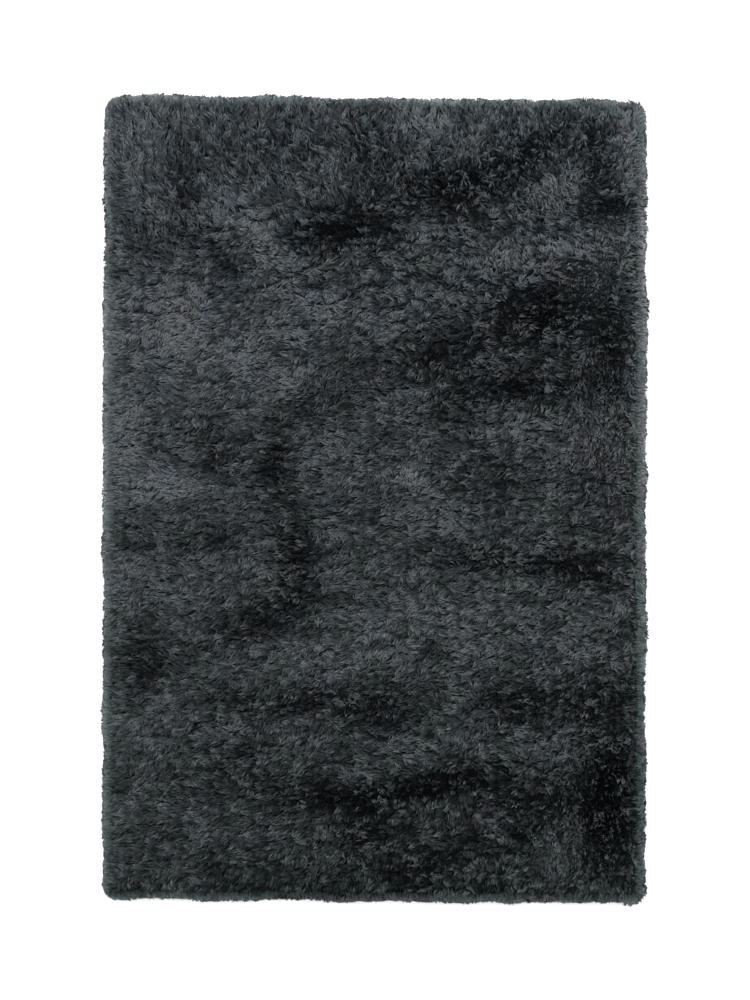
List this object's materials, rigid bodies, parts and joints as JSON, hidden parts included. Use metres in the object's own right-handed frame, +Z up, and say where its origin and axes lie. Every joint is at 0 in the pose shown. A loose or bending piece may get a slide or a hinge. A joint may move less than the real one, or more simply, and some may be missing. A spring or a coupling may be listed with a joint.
{
  "type": "shag rug",
  "caption": "Rectangular long-pile shag rug in charcoal grey, lying flat, with a lumpy pile, rounded corners and yarn locks lying out all round its rim.",
  "frame": {"origin": "centre of the rug's underside, on the floor", "axes": "+Z up out of the pile, +Y along the rug's length towards the picture's top edge, +X across it towards the picture's right edge"},
  "size_m": [1.247, 1.8504, 0.0519],
  "materials": {
    "yarn": "matt yarn pile"
  },
  "bodies": {
    "root": {"shag_rug": "yarn"}
  },
  "joints": []
}
